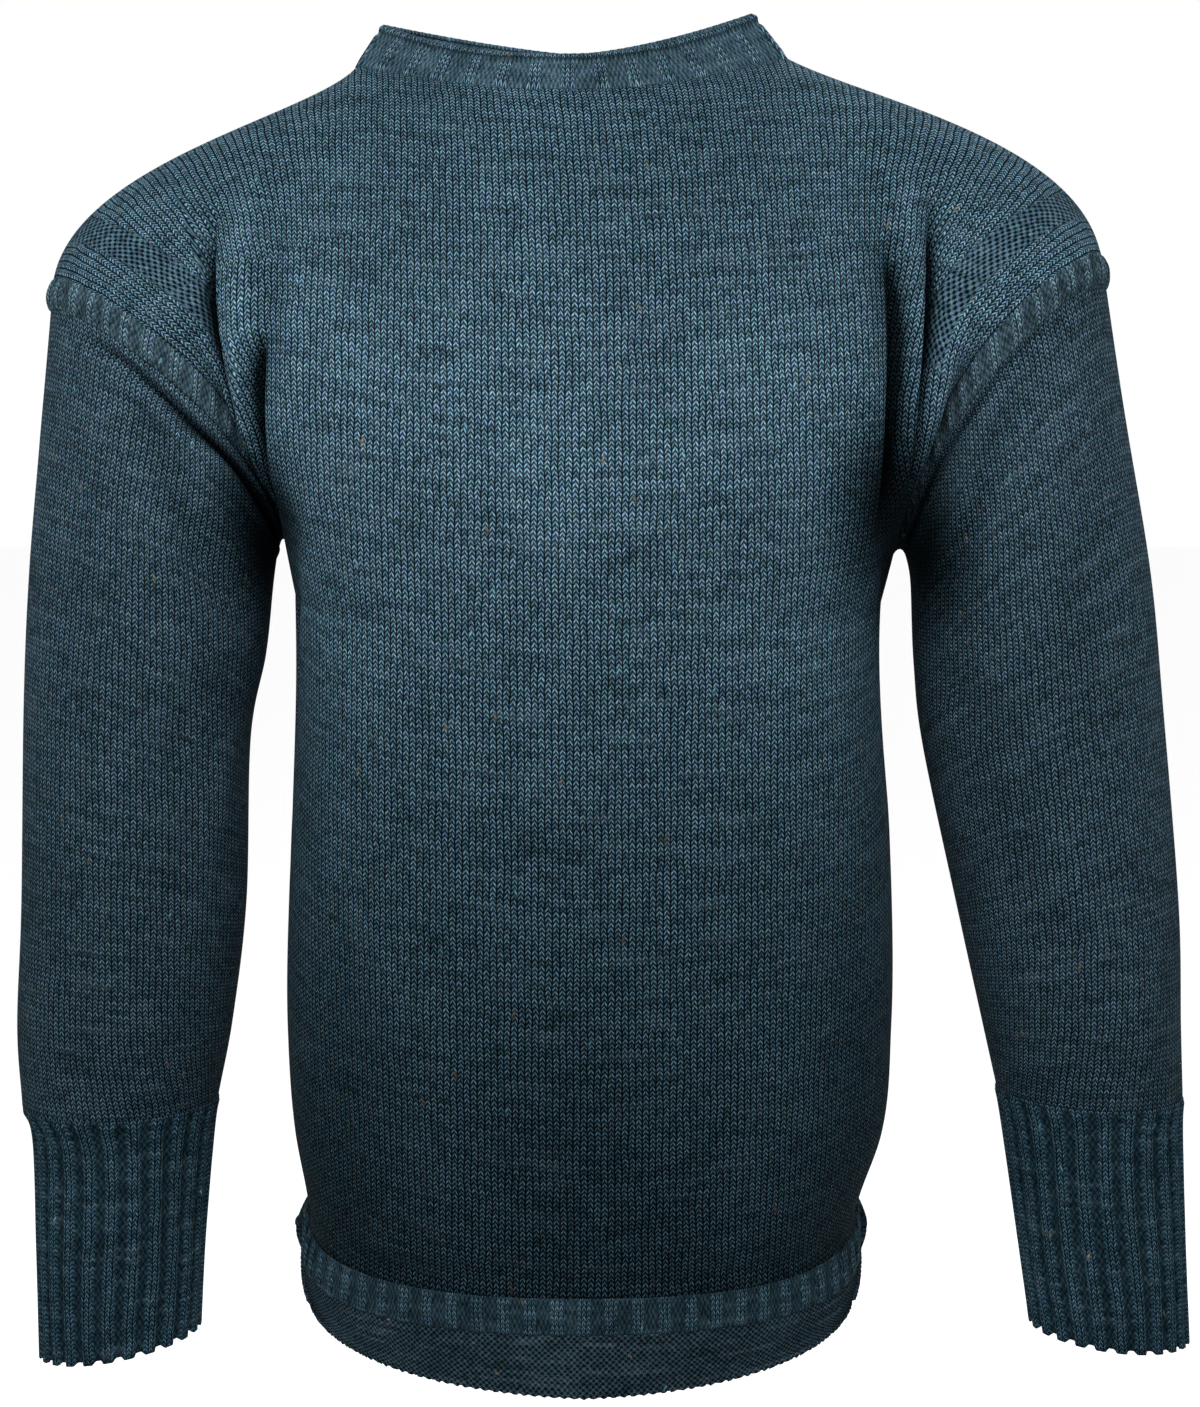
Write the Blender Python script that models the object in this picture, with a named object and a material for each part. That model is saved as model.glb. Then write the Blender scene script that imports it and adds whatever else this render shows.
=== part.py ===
"""Guernsey fisherman sweater in its worn shape, hollow, with no wearer.

Metres, +Z up.  The front faces -Y, +X is the wearer's left, and the origin lies
midway between the two points where neck and shoulder meet, where a wearer holds it.
All the cloth is one surface of sections, cut along its seams into the pieces that a
maker would knit and sew.  Each piece is a wall CLOTH thick.  Lengths below are in
millimetres and turn into metres when a mesh is made.
"""
import bmesh
import bpy
import numpy as np

MM = 0.001
CLOTH = 2.2             # thickness of the knitted cloth
SEAM_GAP = 0.3          # clearance between two sewn pieces
GUSSET_GAP = 1.4        # twice a gusset's own share of it: its corners meet three walls

# How finely the surface is divided; a facet is then 12 to 30 mm long.
COLUMNS_TO_FOLD = 9     # from the centre line to the shoulder fold, each side
COLUMNS_TO_SEAM = 3     # from the shoulder fold to the armhole seam
NECK_COLUMN = 5         # column that ends at the neck point
TORSO_ROWS = 8          # from the hem rib up to the gusset
GUSSET_ROWS = 3         # up the side of the gusset
YOKE_ROWS = 12          # from the underarm up to the neck and shoulder
SLEEVE_ROWS = 9
CUFF_ROWS = 4

FOLD_SHARE = 0.75       # share of the half width, in columns, at the shoulder fold
NECK_SHARE = FOLD_SHARE * NECK_COLUMN / COLUMNS_TO_FOLD
SIDE_SHARE = 0.88       # share of the half girth at the same column on the torso

UNDERARM_LEVEL = -250   # height of the centre line where the yoke begins
GUSSET_LEVEL = -282     # height of the centre line beside the gusset's lower corner
RIB_LEVEL = -615        # torso meets hem rib
WELT_LEVEL = -634       # hem rib meets garter welt
HEM_LEVEL = -667        # lower edge of the welt
SIDE_RISE = 20          # how much higher the hem runs at the side than in the middle
RISE_TOP = -470         # no course above this one bends up at its side
HEAD_RIB = 16           # width of the ribbed band at the head of the sleeve
FRONT, BACK = -1, 1


def table(names, *rows):
    """Columns of numbers under their names, one row for each section."""
    return dict(zip(names.split(), np.array(rows, float).T))


# Torso sections: half widths to either side, depths in front and behind, and how
# square the section is (0.55 is an ellipse).
TORSO = table(
    "level  right  left  front  back  square",
    (-668,   144,  140,   122,  106,  0.60),
    (-634,   147,  143,   123,  107,  0.62),
    (-600,   148,  146,   124,  108,  0.63),
    (-560,   154,  158,   126,  110,  0.64),
    (-500,   157,  162,   129,  110,  0.68),
    (-404,   154,  160,   131,  108,  0.72),
    (-310,   150,  153,   131,  110,  0.72),
    (-250,   151,  154,   130,  113,  0.68),
)

# Side vents: how far each end of a hem band stands back from the side line, how much
# higher its corner is than the middle of the hem, and how far it flares out.
VENT = {
    FRONT: table(
        "level  back  lift  flare",
        (HEM_LEVEL,  23, 18,  2),
        (-650,        9,  7,  4),
        (WELT_LEVEL,  4,  0,  3),
        (RIB_LEVEL,   0,  0,  0),
    ),
    BACK: table(
        "level  back  lift  flare",
        (HEM_LEVEL,   9, 12,  3),
        (-650,        3,  4,  7),
        (WELT_LEVEL,  2,  0,  8),
        (RIB_LEVEL,   0,  0,  0),
    ),
}

# The two shoulders are not quite alike.  Every row is x, y, z of one point, or of one
# handle of a cubic curve, on the wearer's right (-X) and left (+X).
SHOULDER = {
    "right": dict(
        neck_point=(-115, -8, -3), line=((-135, 0, -27), (-262, 0, -50)),
        tip=(-274, 0, -112), gusset_front=(-156.5, -30, -222), gusset_back=(-156.5, 30, -222),
        gusset_body=(-150, 0, -272), gusset_sleeve=(-163, 0, -272),
    ),
    "left": dict(
        neck_point=(102, -8, 1), line=((140, 0, -19), (256, 0, -39)),
        tip=(266.5, 0, -101), gusset_front=(162, -30, -232),
        gusset_back=(162, 30, -232), gusset_body=(154, 0, -276),
        gusset_sleeve=(170.5, 0, -272),
    ),
}

# Yoke: each column of the cloth is a cubic curve from the underarm row to the neck or
# shoulder.  "low" is its handle above the underarm, "top" its handle below the edge.
YOKE = {
    ("right", FRONT): table(
        "share   top_x top_y top_z  low_x low_y low_z",
        (0.00,      0,  -86,  -42,     0, -134, -160),
        (0.21,    -60,  -84,  -40,   -54, -133, -160),
        (0.42,   -118,  -64,  -20,  -106, -128, -162),
        (0.58,   -156,  -58,  -42,  -144, -120, -165),
        (0.75,   -184,  -62,  -60,  -181, -104, -180),
        (1.00,   -262,  -74, -100,  -164,  -84, -156),
    ),
    ("left", FRONT): table(
        "share   top_x top_y top_z  low_x low_y low_z",
        (0.00,      0,  -86,  -42,     0, -134, -160),
        (0.21,     50,  -84,  -38,    52, -133, -160),
        (0.42,    106,  -64,  -16,   103, -128, -162),
        (0.58,    148,  -58,  -34,   140, -120, -165),
        (0.75,    178,  -62,  -52,   173, -104, -176),
        (1.00,    258,  -74,  -84,   176,  -84, -136),
    ),
    ("right", BACK): table(
        "share   top_x top_y top_z  low_x low_y low_z",
        (0.00,      0,   66,  -26,     0,  118, -150),
        (0.21,    -58,   64,  -26,   -54,  117, -150),
        (0.42,   -118,   50,  -18,  -106,  113, -152),
        (0.58,   -158,   54,  -42,  -146,  106, -155),
        (0.75,   -198,   60,  -64,  -180,   96, -165),
        (1.00,   -262,   72, -100,  -166,   86, -156),
    ),
    ("left", BACK): table(
        "share   top_x top_y top_z  low_x low_y low_z",
        (0.00,      0,   66,  -26,     0,  118, -150),
        (0.21,     46,   64,  -24,    52,  117, -150),
        (0.42,    104,   50,  -14,   103,  113, -152),
        (0.58,    150,   54,  -34,   142,  106, -155),
        (0.75,    190,   60,  -55,   177,   96, -165),
        (1.00,    258,   72,  -84,   174,   86, -138),
    ),
}

# Neck line, and the collar's upper edge, over its span from the centre to a corner.
NECK_CENTRE = -8
NECK = {
    FRONT: dict(depth=36, dip=-16.5, collar_depth=33, collar_dip=0.5,
                rise=dict(right=2.5, left=2.0)),
    BACK: dict(depth=46, dip=-12, collar_depth=42, collar_dip=5,
               rise=dict(right=1.15, left=1.5)),
}
COLLAR_CORNER = {"right": (-101.5, -8, 17), "left": (84.5, -8, 22.5)}

# Sleeve rings: heights of their outer and inner points, how far out those lie, and
# half the depth from front to back, with the forward swing of the arm.
SLEEVE = {
    "right": table(
        "outer_z inner_z outer_x inner_x depth swing",
        (-194,   -272,   -282,    -163,   62,   0),
        (-262,   -306,   -289,    -167,   62,   0),
        (-330,   -350,   -293,    -175.5, 61,  -2),
        (-436,   -436,   -296,    -178.5, 60,  -6),
        (-500,   -498,   -299,    -186,   57, -10),
        (-542,   -539,   -297,    -194,   52, -12),
    ),
    "left": table(
        "outer_z inner_z outer_x inner_x depth swing",
        (-186,   -272,   280.5,    170.5, 62,   0),
        (-262,   -312,   294.5,    172.5, 62,   0),
        (-330,   -354,   302,      177.5, 61,  -2),
        (-436,   -438,   312,      196,   60,  -6),
        (-500,   -500,   314,      210,   56, -10),
        (-537,   -533,   315.5,    217.5, 51, -12),
    ),
}
CUFF = {
    "right": table(
        "outer_z inner_z outer_x inner_x depth swing",
        (-542,   -539,   -297,    -194,   52, -12),
        (-560,   -556,   -291,    -197,   47, -13),
        (-620,   -614,   -290,    -202.5, 43, -15),
        (-677,   -662,   -289.5,  -205.5, 41, -17),
    ),
    "left": table(
        "outer_z inner_z outer_x inner_x depth swing",
        (-537,   -533,   315.5,    217.5, 51, -12),
        (-556,   -551,   315,      221,   46, -13),
        (-616,   -610,   317.5,    230,   42, -15),
        (-669,   -660,   320.5,    237.5, 41, -17),
    ),
}

# Largest folds: the shoulder fold, where the cloth of the chest doubles over on its way
# to the arm, the trough beside it, and a soft roll in the cloth above the underarm.
# "share" and "height" run along the yoke's columns and rows.
FOLDS = {
    FRONT: table(
        "share_low share_top height_low height_top width depth",
        (0.75,     0.75,     0.02,      0.86,      0.030,  7.0),
        (0.68,     0.66,     0.00,      0.62,      0.032,  4.5),
        (0.71,     0.71,     0.05,      0.80,      0.030, -4.0),
        (0.88,     0.90,     0.10,      0.60,      0.050,  2.0),
    ),
    BACK: table(
        "share_low share_top height_low height_top width depth",
        (0.78,     0.76,     0.00,      0.66,      0.045,  5.0),
        (0.66,     0.62,     0.00,      0.50,      0.050,  3.0),
        (0.72,     0.70,     0.02,      0.60,      0.040, -3.0),
    ),
}


# ---------------------------------------------------------------- curves and surfaces

def along(columns, name, at, key):
    """Value of a column at a place along the table's key column, on a smooth curve."""
    x, y = columns[key], columns[name]
    if x[0] > x[-1]:
        x, y = x[::-1], y[::-1]
    slope = np.gradient(y, x)
    at = np.clip(at, x[0], x[-1])
    i = np.clip(np.searchsorted(x, at) - 1, 0, len(x) - 2)
    gap = x[i + 1] - x[i]
    u = (at - x[i]) / gap
    return ((1 + 2 * u) * (1 - u) ** 2 * y[i] + u * (1 - u) ** 2 * gap * slope[i]
            + u ** 2 * (3 - 2 * u) * y[i + 1] + u ** 2 * (u - 1) * gap * slope[i + 1])


def bezier(p0, p1, p2, p3, t):
    """Cubic curve from p0 to p3 with handles p1 and p2."""
    p0, p1, p2, p3 = (np.asarray(p, float) for p in (p0, p1, p2, p3))
    t = np.asarray(t, float)[..., None]
    return ((1 - t) ** 3 * p0 + 3 * t * (1 - t) ** 2 * p1
            + 3 * t ** 2 * (1 - t) * p2 + t ** 3 * p3)


def at_shares(curve, shares):
    """Points at the given shares of the length of a curve of many points."""
    run = np.concatenate(([0], np.cumsum(np.linalg.norm(np.diff(curve, axis=0), axis=1))))
    return np.stack([np.interp(shares, run / run[-1], curve[:, k]) for k in range(3)], axis=-1)


def column_shares():
    """Shares of the half width at the columns: even to the fold, then even to the seam."""
    to_fold = np.linspace(0, FOLD_SHARE, COLUMNS_TO_FOLD + 1)
    to_seam = np.linspace(FOLD_SHARE, 1, COLUMNS_TO_SEAM + 1)
    return np.concatenate([to_fold, to_seam[1:]])


def torso_row(side, face, level, edge, shares):
    """One course of the torso, from the centre line round to its edge at the side."""
    depth = face * along(TORSO, "front" if face == FRONT else "back", level, "level")
    square = along(TORSO, "square", level, "level")
    centre = np.array([0, depth, level])
    edge = np.asarray(edge, float)
    half = edge - centre
    curve = bezier(centre, centre + (square * half[0], 0, 0.2 * half[2]),
                   edge - (0, square * half[1], 0.2 * half[2]), edge, np.linspace(0, 1, 160))
    girth = np.interp(shares, [0, FOLD_SHARE, 1], [0, SIDE_SHARE, 1])
    near_hem = np.clip((RISE_TOP - level) / (RISE_TOP - RIB_LEVEL), 0, 1)
    row = at_shares(curve, girth)
    row[:, 2] += SIDE_RISE * near_hem ** 2 * shares ** 3.5
    return row


def torso_edge(side, level):
    """Point of the side line at a height below the gusset."""
    sign = -1 if side == "right" else 1
    return sign * along(TORSO, side, level, "level"), 0, level


def top_edge(side, face, shares):
    """Neck line to the neck point, then the shoulder seam to its tip."""
    shape, shoulder = NECK[face], SHOULDER[side]
    corner = np.array(shoulder["neck_point"], float)
    q = np.clip(shares / NECK_SHARE, 0, 1)
    neck = np.stack([NECK_CENTRE + q * (corner[0] - NECK_CENTRE),
                     corner[1] + face * shape["depth"] * (1 - q ** 2),
                     shape["dip"] + (corner[2] - shape["dip"]) * q ** 2], axis=-1)
    line = bezier(corner, *shoulder["line"], shoulder["tip"], np.linspace(0, 1, 160))
    seam = at_shares(line, np.clip((shares - NECK_SHARE) / (1 - NECK_SHARE), 0, 1))
    return np.where((shares <= NECK_SHARE)[:, None], neck, seam)


def fold_offset(face, share, height):
    """How far the folds push the cloth in: troughs that fade at both of their ends."""
    folds, total = FOLDS[face], 0
    for low, top, start, end, width, depth in zip(*folds.values()):
        u = (height - start) / (end - start)
        line = low + (top - low) * np.clip(u, 0, 1)
        fade = np.clip(u * (1 - u) * 4, 0, 1) ** 0.6 * ((u > 0) & (u < 1))
        total = total + depth * fade * np.exp(-((share - line) / width) ** 2)
    return total


def body_half(side, face):
    """Half a body panel, rows from the hem rib up, columns from the centre to the side."""
    shares = column_shares()
    shoulder = SHOULDER[side]
    corner = np.array(shoulder["gusset_body"], float)
    front = np.array(shoulder["gusset_front" if face == FRONT else "gusset_back"], float)
    rows = []
    for u in np.linspace(0, 1, TORSO_ROWS + 1):
        level = RIB_LEVEL + u * (GUSSET_LEVEL - RIB_LEVEL)
        edge = np.array(torso_edge(side, RIB_LEVEL + u * (corner[2] - RIB_LEVEL)))
        rows.append(torso_row(side, face, level, edge + u ** 8 * (corner - edge), shares))
    for u in np.linspace(0, 1, GUSSET_ROWS + 1)[1:]:
        level = GUSSET_LEVEL + u * (UNDERARM_LEVEL - GUSSET_LEVEL)
        rows.append(torso_row(side, face, level, corner + u * (front - corner), shares))
    low, top, handles = rows[-1], top_edge(side, face, shares), YOKE[side, face]
    grip = {n: np.stack([along(handles, n + axis, shares, "share") for axis in ("_x", "_y", "_z")],
                        axis=-1) for n in ("top", "low")}
    t = np.linspace(0, 1, 160)
    heights = np.linspace(0, 1, YOKE_ROWS + 1)
    yoke = np.stack([at_shares(bezier(low[i], grip["low"][i], grip["top"][i], top[i], t), heights)
                     for i in range(len(shares))], axis=1)
    return np.concatenate([np.stack(rows), yoke[1:]]), np.concatenate(
        [np.zeros(len(rows)), heights[1:]])


def body_panel(face):
    """Whole front or back, columns from the wearer's right to the left."""
    right, heights = body_half("right", face)
    left, _ = body_half("left", face)
    grid = np.concatenate([right[:, ::-1], left[:, 1:]], axis=1)
    shares = np.concatenate([column_shares()[::-1], column_shares()[1:]])
    push = fold_offset(face, shares[None], heights[:, None])
    push[:, [0, -1]] = 0
    push[-1] = 0
    return grid - push[..., None] * grid_normals(grid, -face)


def hem_band(face, levels):
    """A band below the torso, from vent to vent, rows from its lower edge up."""
    shares = column_shares()
    halves = []
    for side, sign in (("right", -1), ("left", 1)):
        rows = []
        for level in levels:
            back, lift, flare = (along(VENT[face], n, level, "level")
                                 for n in ("back", "lift", "flare"))
            edge = np.array(torso_edge(side, level)) + (sign * flare, face * back, lift)
            rows.append(torso_row(side, face, level, edge, shares))
        halves.append(np.stack(rows))
    return np.concatenate([halves[0][:, ::-1], halves[1][:, 1:]], axis=1)


def ring(rings, row, turn):
    """One ring of a sleeve; turn 0 is its inner point, then front, outer point, back."""
    outer_z, inner_z, outer_x, inner_x, depth, swing = (rings[n][row] for n in rings)
    out = (1 - np.cos(2 * np.pi * turn)) / 2
    return np.stack([inner_x + out * (outer_x - inner_x),
                     swing - depth * np.sin(2 * np.pi * turn),
                     inner_z + out * (outer_z - inner_z)], axis=-1)


def between_rings(rings, rows, turn):
    """Rings at even steps down a table, on smooth curves through its rows."""
    count = len(rings["depth"])
    steps = np.linspace(0, count - 1, rows + 1)
    keyed = dict(rings, row=np.arange(count, dtype=float))
    smooth = {n: np.array([along(keyed, n, s, "row") for s in steps]) for n in rings}
    return np.stack([ring(smooth, i, turn) for i in range(rows + 1)])


def sleeve(side, armhole):
    """Rows from the armhole seam down to the cuff's end; the first two bound the head rib."""
    turn = np.linspace(0, 1, 2 * YOKE_ROWS + 1)
    first = ring(SLEEVE[side], 0, turn)
    fall = first - armhole
    band = HEAD_RIB / np.linalg.norm(fall, axis=1, keepdims=True)
    head = [armhole + w * fall for w in
            (0 * band, band, band + (1 - band) * 0.5, np.ones_like(band))]
    arm = between_rings(SLEEVE[side], SLEEVE_ROWS, turn)
    cuff = between_rings(CUFF[side], CUFF_ROWS, turn)
    return np.stack(head), arm, cuff


def coons(bottom, top, left, right):
    """Patch spanned by four edge curves; bottom and top run left to right."""
    u = np.linspace(0, 1, len(bottom))[None, :, None]
    v = np.linspace(0, 1, len(left))[:, None, None]
    corners = ((1 - u) * (1 - v) * bottom[0] + u * (1 - v) * bottom[-1]
               + (1 - u) * v * top[0] + u * v * top[-1])
    return ((1 - v) * bottom[None] + v * top[None]
            + (1 - u) * left[:, None] + u * right[:, None] - corners)


def grid_normals(grid, turn):
    """Unit normals at the points of one grid."""
    du, dv = np.gradient(grid, axis=1), np.gradient(grid, axis=0)
    n = turn * np.cross(du, dv)
    return n / np.linalg.norm(n, axis=-1, keepdims=True)


def make_pieces():
    """Grid of points for each piece, and which way its outside turns."""
    front, back = body_panel(FRONT), body_panel(BACK)
    pieces = {"front_panel": (front, 1), "back_panel": (back, -1)}
    base = TORSO_ROWS + GUSSET_ROWS
    neck = slice(COLUMNS_TO_FOLD + COLUMNS_TO_SEAM - NECK_COLUMN,
                 COLUMNS_TO_FOLD + COLUMNS_TO_SEAM + NECK_COLUMN + 1)

    for face, word, panel in ((FRONT, "front", front), (BACK, "back", back)):
        rib = hem_band(face, [WELT_LEVEL, RIB_LEVEL])
        rib[-1] = panel[0]
        welt = hem_band(face, [HEM_LEVEL, (HEM_LEVEL + WELT_LEVEL) / 2, WELT_LEVEL])
        pieces["hem_rib_" + word] = (rib, -face)
        pieces["hem_welt_" + word] = (welt, -face)

    for side, edge, turn in (("right", 0, 1), ("left", -1, -1)):
        armhole = np.concatenate([front[base:, edge], back[base:, edge][::-1][1:]])
        head, arm, cuff = sleeve(side, armhole)
        pieces["sleeve_head_rib_" + side] = (head[:2], turn)
        pieces["sleeve_" + side] = (np.concatenate([head[1:], arm[1:]]), turn)
        pieces["cuff_" + side] = (cuff, turn)
        side_front = front[TORSO_ROWS:base + 1, edge]
        side_back = back[TORSO_ROWS:base + 1, edge]
        pieces["underarm_gusset_" + side] = (coons(
            side_front, head[:, -1], side_back, head[:, 0]), turn)

    corner = {s: np.array(COLLAR_CORNER[s], float) for s in ("right", "left")}
    top = {}
    for face in (FRONT, BACK):
        shape = NECK[face]
        halves = []
        for side in ("right", "left"):
            q = np.linspace(0, 1, NECK_COLUMN + 1)
            halves.append(np.stack([
                NECK_CENTRE + q * (corner[side][0] - NECK_CENTRE),
                corner[side][1] + face * shape["collar_depth"] * (1 - q ** 2),
                shape["collar_dip"] + (corner[side][2] - shape["collar_dip"])
                * q ** shape["rise"][side]], axis=-1))
        top[face] = np.concatenate([halves[0][::-1], halves[1][1:]])
    low = np.concatenate([front[-1, neck], back[-1, neck][::-1][1:]])
    high = np.concatenate([top[FRONT], top[BACK][::-1][1:]])
    pieces["collar"] = (np.stack([low, (low + high) / 2, high]), 1)
    return pieces


# ------------------------------------------------------------------------- solids

def cloth_normals(pieces):
    """Outward normals of the whole cloth, so that two pieces agree along their seam."""
    points = np.concatenate([grid.reshape(-1, 3) for grid, _ in pieces.values()])
    _, index = np.unique(np.round(points, 3), axis=0, return_inverse=True)
    index = index.ravel()
    total = np.zeros((index.max() + 1, 3))
    start, places = 0, {}
    for name, (grid, turn) in pieces.items():
        count = grid.shape[0] * grid.shape[1]
        places[name] = index[start:start + count].reshape(grid.shape[:2])
        start += count
        face = turn * np.cross(grid[1:, 1:] - grid[:-1, :-1], grid[1:, :-1] - grid[:-1, 1:])
        for rows in (slice(None, -1), slice(1, None)):
            for cols in (slice(None, -1), slice(1, None)):
                np.add.at(total, places[name][rows, cols], face)
    total /= np.linalg.norm(total, axis=1, keepdims=True)
    return {name: total[place] for name, place in places.items()}


def solid(name, grid, turn, normals, gap, material, collection):
    """Closed wall behind a grid of points, drawn back from its seams by half the gap."""
    flat = grid.reshape(-1, 3)
    keys, first, index = np.unique(np.round(flat, 3), axis=0,
                                   return_index=True, return_inverse=True)
    index = index.ravel().reshape(grid.shape[:2])
    points, out = flat[first], normals.reshape(-1, 3)[first]
    quads = np.stack([index[:-1, :-1], index[:-1, 1:], index[1:, 1:], index[1:, :-1]],
                     axis=-1).reshape(-1, 4)
    if turn < 0:
        quads = quads[:, ::-1]

    edges = {(a, b) for quad in quads for a, b in zip(quad, np.roll(quad, -1))}
    rim = [(a, b) for a, b in edges if (b, a) not in edges]
    inward = {}
    for a, b in rim:
        for end in (a, b):
            n = np.cross(out[end], points[b] - points[a])
            inward.setdefault(end, []).append(n / np.linalg.norm(n))
    shift = np.zeros_like(points)
    for end, (n, m) in inward.items():
        shift[end] = (n + m) / max(1 + n.dot(m), 0.02) * gap / 2

    count = len(points)
    verts = np.concatenate([points + shift, points + shift - out * CLOTH]) * MM
    faces = []
    for a, b, c, d in quads.tolist():    # cut each quad across its shorter diagonal
        if np.linalg.norm(points[a] - points[c]) > np.linalg.norm(points[b] - points[d]):
            a, b, c, d = b, c, d, a
        faces += [(a, b, c), (a, c, d)]
        faces += [(c + count, b + count, a + count), (d + count, c + count, a + count)]
    for a, b in rim:    # cut every rim quad alike on both sides of a seam
        a, b, c, d = int(a), int(b), int(a) + count, int(b) + count
        if tuple(keys[a]) < tuple(keys[b]):
            faces += [(b, a, d), (a, c, d)]
        else:
            faces += [(b, a, c), (b, c, d)]
    mesh = bpy.data.meshes.new(name)
    mesh.from_pydata([tuple(v) for v in verts], [], faces)
    mesh.materials.append(material)
    mesh.shade_smooth()
    mesh.set_sharp_from_angle(angle=np.radians(40))
    body = bmesh.new()
    body.from_mesh(mesh)
    bmesh.ops.recalc_face_normals(body, faces=body.faces)
    body.to_mesh(mesh)
    body.free()
    obj = bpy.data.objects.new(name, mesh)
    collection.objects.link(obj)
    return obj


def wool(name, colour, roughness=0.9):
    """Dyed worsted wool in one of the sweater's shades."""
    material = bpy.data.materials.new(name)
    material.use_nodes = True
    shader = material.node_tree.nodes["Principled BSDF"]
    shader.inputs["Base Color"].default_value = (*colour, 1)
    shader.inputs["Roughness"].default_value = roughness
    shader.inputs["Metallic"].default_value = 0
    material.diffuse_color = (*colour, 1)
    return material


for old in list(bpy.data.objects):
    bpy.data.objects.remove(old)

sweater = bpy.data.collections.new("guernsey_sweater")
bpy.context.scene.collection.children.link(sweater)
SHADES = {
    "front_panel": (0.050, 0.095, 0.125),
    "back_panel": (0.048, 0.092, 0.120),
    "sleeve": (0.046, 0.088, 0.115),
    "sleeve_head_rib": (0.052, 0.098, 0.128),
    "cuff": (0.030, 0.062, 0.080),
    "underarm_gusset": (0.034, 0.068, 0.088),
    "collar": (0.054, 0.102, 0.132),
    "hem_rib": (0.030, 0.062, 0.080),
    "hem_welt": (0.028, 0.058, 0.075),
}
pieces = make_pieces()
normals = cloth_normals(pieces)
for name, (grid, turn) in pieces.items():
    shade = next(SHADES[key] for key in sorted(SHADES, key=len, reverse=True)
                 if name.startswith(key))
    gap = GUSSET_GAP if "gusset" in name else SEAM_GAP
    solid(name, grid, turn, normals[name], gap, wool("wool_" + name, shade), sweater)
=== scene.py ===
"""Guernsey fisherman sweater in five-ply wool, filled out as when worn, with no wearer.

Every piece is a closed wall of cloth on the form of its frame node: the same sections,
set closer together, with the finer folds and ribs pushed in or out along the cloth.
Lengths are in millimetres until a mesh is made.  Each piece carries a map of its
stitches: metres along the courses and metres up the wales.
"""

import bpy
import numpy as np
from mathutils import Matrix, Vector


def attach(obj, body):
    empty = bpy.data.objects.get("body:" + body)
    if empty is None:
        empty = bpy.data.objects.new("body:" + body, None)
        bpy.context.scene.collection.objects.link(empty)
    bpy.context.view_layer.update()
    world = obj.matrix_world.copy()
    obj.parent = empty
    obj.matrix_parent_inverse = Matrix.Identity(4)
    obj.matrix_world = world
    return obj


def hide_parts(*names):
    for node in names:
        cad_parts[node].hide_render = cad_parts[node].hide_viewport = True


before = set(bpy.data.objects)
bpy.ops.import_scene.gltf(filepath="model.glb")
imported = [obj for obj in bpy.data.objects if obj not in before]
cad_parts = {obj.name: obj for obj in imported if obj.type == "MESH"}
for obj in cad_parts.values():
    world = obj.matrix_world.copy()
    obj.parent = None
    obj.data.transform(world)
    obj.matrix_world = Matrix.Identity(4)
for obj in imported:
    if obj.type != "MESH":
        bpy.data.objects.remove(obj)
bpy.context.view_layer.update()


# ----------------------------------------------------------------- front and back panels
# Two flat pieces of stocking stitch from hem rib to neck and shoulders, knitted up in
# the round and parted at the underarm.  The shoulder drops over the arm, so its cloth
# doubles into folds beside the armhole; a band of seed stitch runs along each armhole.

FRONT, BACK = -1, 1


def table(names, *rows):
    """Columns of numbers under their names, one row for each section."""
    return dict(zip(names.split(), np.array(rows, float).T))


# The gap colour is painted shade between the loops; the loop colour is the yarn's own.
PAINTED_GAP_SHADE, LOOP = "#03080c", "#567485"    # between the loops and on them
WALE, COURSE = 3.4, 2.45            # one stitch across and one up
CLOTH_THICK = 2.2
UNDERARM_LEVEL, GUSSET_LEVEL = -250, -282
RIB_LEVEL, WELT_LEVEL, HEM_LEVEL = -615, -634, -667
SIDE_RISE, RISE_TOP = 20, -470      # courses near the hem bend up at the sides
FOLD_SHARE, SIDE_SHARE = 0.75, 0.88
NECK_SHARE = FOLD_SHARE * 5 / 9
ROLL_SHARE = 0.54
TO_ROLL, TO_FOLD, TO_SEAM = 36, 82, 120     # columns out to the roll, fold and seam
TORSO_ROWS, GUSSET_ROWS, YOKE_ROWS = 70, 12, 100

TORSO = table(
    "level  right  left  front  back  square",
    (-668,   144,  140,   122,  106,  0.60),
    (-634,   147,  143,   123,  107,  0.62),
    (-600,   148,  146,   124,  108,  0.63),
    (-560,   154,  158,   126,  110,  0.64),
    (-500,   157,  162,   129,  110,  0.68),
    (-404,   154,  160,   131,  108,  0.72),
    (-310,   150,  153,   131,  110,  0.72),
    (-250,   151,  154,   130,  113,  0.68),
)
SHOULDER = {
    "right": dict(
        neck_point=(-115, -8, -3), line=((-135, 0, -27), (-262, 0, -50)),
        tip=(-274, 0, -112), gusset_front=(-156.5, -30, -222),
        gusset_back=(-156.5, 30, -222), gusset_body=(-150, 0, -272),
    ),
    "left": dict(
        neck_point=(102, -8, 1), line=((140, 0, -19), (256, 0, -39)),
        tip=(266.5, 0, -101), gusset_front=(162, -30, -232),
        gusset_back=(162, 30, -232), gusset_body=(154, 0, -276),
    ),
}
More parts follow.
